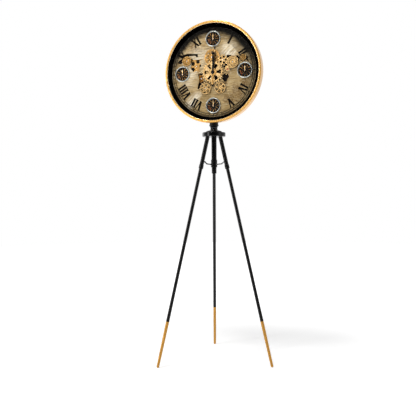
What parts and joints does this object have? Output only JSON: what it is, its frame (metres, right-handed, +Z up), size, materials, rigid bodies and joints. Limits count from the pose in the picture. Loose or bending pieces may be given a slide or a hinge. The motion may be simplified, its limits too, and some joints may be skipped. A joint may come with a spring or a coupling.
{
  "type": "tripod floor clock",
  "caption": "Round dial clock in a hoop drum with open wheelwork, on a turned neck, hub and folding tripod with long feet.",
  "frame": {"origin": "on the floor, on the axis of the neck and column", "axes": "+Z up, the dial faces -Y, +X to the right of someone who looks at the dial"},
  "size_m": [0.5535, 0.5363, 1.64],
  "materials": {
    "battery": "wrapped",
    "black_metal": "matte",
    "black_paint": "satin",
    "black_plastic": "matte",
    "brass": "polished",
    "bronze": "aged",
    "dial": "printed satin",
    "glass": "clear",
    "gold_paint": "satin",
    "print": "matte",
    "silver": "polished",
    "steel": "brushed"
  },
  "bodies": {
    "stand": {"neck": "black_paint", "neck_bolt": "steel", "tripod_hub": "black_paint", "centre_column": "black_paint", "brace_sleeve": "black_paint", "hinge_pins": "steel"},
    "drum": {"drum_shell": "gold_paint", "front_bezel": "gold_paint", "inner_rim": "black_plastic", "front_glass": "glass", "dial_plate": "dial", "minute_track": "print", "roman_numerals": "print", "movement_plate": "black_plastic", "dial_pillars": "brass", "shell_brackets": "steel", "back_plate": "black_plastic", "back_screws": "steel", "neck_saddle": "black_paint", "hand_bushing": "brass", "quartz_movement": "black_plastic", "aa_cells": "battery", "motor_box": "black_plastic", "wheel_posts": "steel", "train_bridge": "brass", "jewel_settings": "brass", "subdial_bezels": "silver", "subdial_faces": "black_metal"},
    "minute_hand": {"minute_hand": "black_metal"},
    "hour_hand": {"hour_hand": "black_metal"},
    "time_set_knob": {"time_set_knob": "black_plastic"},
    "centre_wheel": {"centre_wheel": "brass"},
    "upper_wheel": {"upper_wheel": "brass"},
    "skeleton_wheel": {"skeleton_wheel": "brass"},
    "right_barrel": {"right_barrel": "brass"},
    "small_pinion": {"small_pinion": "brass"},
    "left_wheel": {"left_wheel": "brass"},
    "left_barrel": {"left_barrel": "brass"},
    "lower_barrel": {"lower_barrel": "bronze"},
    "left_medallion": {"left_medallion": "brass"},
    "right_medallion": {"right_medallion": "brass"},
    "top_pointer": {"top_pointer": "brass"},
    "right_pointer": {"right_pointer": "brass"},
    "bottom_pointer": {"bottom_pointer": "brass"},
    "left_pointer": {"left_pointer": "brass"},
    "leg_1": {"leg_upper_1": "black_paint", "leg_lower_1": "black_paint", "leg_foot_1": "gold_paint"},
    "brace_outer_1": {"brace_outer_1": "steel"},
    "brace_inner_1": {"brace_inner_1": "steel"},
    "leg_2": {"leg_upper_2": "black_paint", "leg_lower_2": "black_paint", "leg_foot_2": "gold_paint"},
    "brace_outer_2": {"brace_outer_2": "steel"},
    "brace_inner_2": {"brace_inner_2": "steel"},
    "leg_3": {"leg_upper_3": "black_paint", "leg_lower_3": "black_paint", "leg_foot_3": "gold_paint"},
    "brace_outer_3": {"brace_outer_3": "steel"},
    "brace_inner_3": {"brace_inner_3": "steel"}
  },
  "joints": [
    {"name": "drum_swivel", "type": "hinge", "parent": "stand", "child": "drum", "pos_m": [0, 0, 1.146], "axis": [0, 0, 1], "range_deg": [-180, 180]},
    {"name": "minute_turn", "type": "hinge", "parent": "drum", "child": "minute_hand", "pos_m": [0, 0, 1.395], "axis": [0, 1, 0], "continuous": true},
    {"name": "hour_turn", "type": "hinge", "parent": "drum", "child": "hour_hand", "pos_m": [0, 0, 1.395], "axis": [0, 1, 0], "continuous": true},
    {"name": "knob_turn", "type": "hinge", "parent": "drum", "child": "time_set_knob", "pos_m": [0, 0, 1.407], "axis": [0, 1, 0], "continuous": true},
    {"name": "centre_wheel_turn", "type": "hinge", "parent": "drum", "child": "centre_wheel", "pos_m": [0, 0, 1.395], "axis": [0, 1, 0], "continuous": true},
    {"name": "upper_wheel_turn", "type": "hinge", "parent": "drum", "child": "upper_wheel", "pos_m": [-0.00502, 0, 1.46682], "axis": [0, 1, 0], "continuous": true},
    {"name": "skeleton_wheel_turn", "type": "hinge", "parent": "drum", "child": "skeleton_wheel", "pos_m": [0.05231, 0, 1.45013], "axis": [0, 1, 0], "continuous": true},
    {"name": "right_barrel_turn", "type": "hinge", "parent": "drum", "child": "right_barrel", "pos_m": [0.10059, 0, 1.4371], "axis": [0, 1, 0], "continuous": true},
    {"name": "small_pinion_turn", "type": "hinge", "parent": "drum", "child": "small_pinion", "pos_m": [0.07556, 0, 1.40321], "axis": [0, 1, 0], "continuous": true},
    {"name": "left_wheel_turn", "type": "hinge", "parent": "drum", "child": "left_wheel", "pos_m": [-0.08758, 0, 1.42915], "axis": [0, 1, 0], "continuous": true},
    {"name": "left_barrel_turn", "type": "hinge", "parent": "drum", "child": "left_barrel", "pos_m": [-0.13462, 0, 1.45565], "axis": [0, 1, 0], "continuous": true},
    {"name": "lower_barrel_turn", "type": "hinge", "parent": "drum", "child": "lower_barrel", "pos_m": [-0.06269, 0, 1.36865], "axis": [0, 1, 0], "continuous": true},
    {"name": "left_medallion_turn", "type": "hinge", "parent": "drum", "child": "left_medallion", "pos_m": [-0.0377, 0, 1.3177], "axis": [0, 1, 0], "continuous": true},
    {"name": "right_medallion_turn", "type": "hinge", "parent": "drum", "child": "right_medallion", "pos_m": [0.0377, 0, 1.3177], "axis": [0, 1, 0], "continuous": true},
    {"name": "top_pointer_turn", "type": "hinge", "parent": "drum", "child": "top_pointer", "pos_m": [0, 0, 1.555], "axis": [0, 1, 0], "continuous": true},
    {"name": "right_pointer_turn", "type": "hinge", "parent": "drum", "child": "right_pointer", "pos_m": [0.16, 0, 1.395], "axis": [0, 1, 0], "continuous": true},
    {"name": "bottom_pointer_turn", "type": "hinge", "parent": "drum", "child": "bottom_pointer", "pos_m": [0, 0, 1.235], "axis": [0, 1, 0], "continuous": true},
    {"name": "left_pointer_turn", "type": "hinge", "parent": "drum", "child": "left_pointer", "pos_m": [-0.16, 0, 1.395], "axis": [0, 1, 0], "continuous": true},
    {"name": "leg_1_fold", "type": "hinge", "parent": "stand", "child": "leg_1", "pos_m": [-0.02121, -0.02528, 1.0925], "axis": [0.766, -0.6428, 0], "range_deg": [0, 10.5]},
    {"name": "brace_inner_1_fold", "type": "hinge", "parent": "stand", "child": "brace_inner_1", "pos_m": [-0.01189, -0.01417, 0.951], "axis": [0.766, -0.6428, 0], "range_deg": [-78.39, 0]},
    {"name": "brace_outer_1_fold", "type": "hinge", "parent": "leg_1", "child": "brace_outer_1", "pos_m": [-0.03353, -0.03996, 0.9613], "axis": [0.766, -0.6428, 0], "range_deg": [0, 87.72]},
    {"name": "leg_2_fold", "type": "hinge", "parent": "stand", "child": "leg_2", "pos_m": [0.0325, -0.00573, 1.0925], "axis": [0.1736, 0.9848, 0], "range_deg": [0, 10.5]},
    {"name": "brace_inner_2_fold", "type": "hinge", "parent": "stand", "child": "brace_inner_2", "pos_m": [0.01822, -0.00321, 0.951], "axis": [0.1736, 0.9848, 0], "range_deg": [-78.39, 0]},
    {"name": "brace_outer_2_fold", "type": "hinge", "parent": "leg_2", "child": "brace_outer_2", "pos_m": [0.05137, -0.00906, 0.9613], "axis": [0.1736, 0.9848, 0], "range_deg": [0, 87.72]},
    {"name": "leg_3_fold", "type": "hinge", "parent": "stand", "child": "leg_3", "pos_m": [-0.01129, 0.03101, 1.0925], "axis": [-0.9397, -0.342, 0], "range_deg": [0, 10.5]},
    {"name": "brace_inner_3_fold", "type": "hinge", "parent": "stand", "child": "brace_inner_3", "pos_m": [-0.00633, 0.01738, 0.951], "axis": [-0.9397, -0.342, 0], "range_deg": [-78.39, 0]},
    {"name": "brace_outer_3_fold", "type": "hinge", "parent": "leg_3", "child": "brace_outer_3", "pos_m": [-0.01784, 0.04901, 0.9613], "axis": [-0.9397, -0.342, 0], "range_deg": [0, 87.72]}
  ],
  "couplings": [
    {"joint": "hour_turn", "follows": "minute_turn", "ratio": 0.083333},
    {"joint": "knob_turn", "follows": "minute_turn", "ratio": -3},
    {"joint": "upper_wheel_turn", "follows": "centre_wheel_turn", "ratio": -2.6},
    {"joint": "skeleton_wheel_turn", "follows": "centre_wheel_turn", "ratio": -2.1667},
    {"joint": "right_barrel_turn", "follows": "centre_wheel_turn", "ratio": 2},
    {"joint": "small_pinion_turn", "follows": "centre_wheel_turn", "ratio": -2.1667},
    {"joint": "left_wheel_turn", "follows": "centre_wheel_turn", "ratio": -1.2381},
    {"joint": "left_barrel_turn", "follows": "centre_wheel_turn", "ratio": 4.3333},
    {"joint": "lower_barrel_turn", "follows": "centre_wheel_turn", "ratio": -3.25},
    {"joint": "left_medallion_turn", "follows": "centre_wheel_turn", "ratio": -1.5294},
    {"joint": "right_medallion_turn", "follows": "centre_wheel_turn", "ratio": -1.5294},
    {"joint": "brace_inner_1_fold", "follows": "leg_1_fold", "ratio": -7.4655},
    {"joint": "brace_outer_1_fold", "follows": "leg_1_fold", "ratio": 8.3539},
    {"joint": "brace_inner_2_fold", "follows": "leg_2_fold", "ratio": -7.4655},
    {"joint": "brace_outer_2_fold", "follows": "leg_2_fold", "ratio": 8.3539},
    {"joint": "brace_inner_3_fold", "follows": "leg_3_fold", "ratio": -7.4655},
    {"joint": "brace_outer_3_fold", "follows": "leg_3_fold", "ratio": 8.3539}
  ]
}
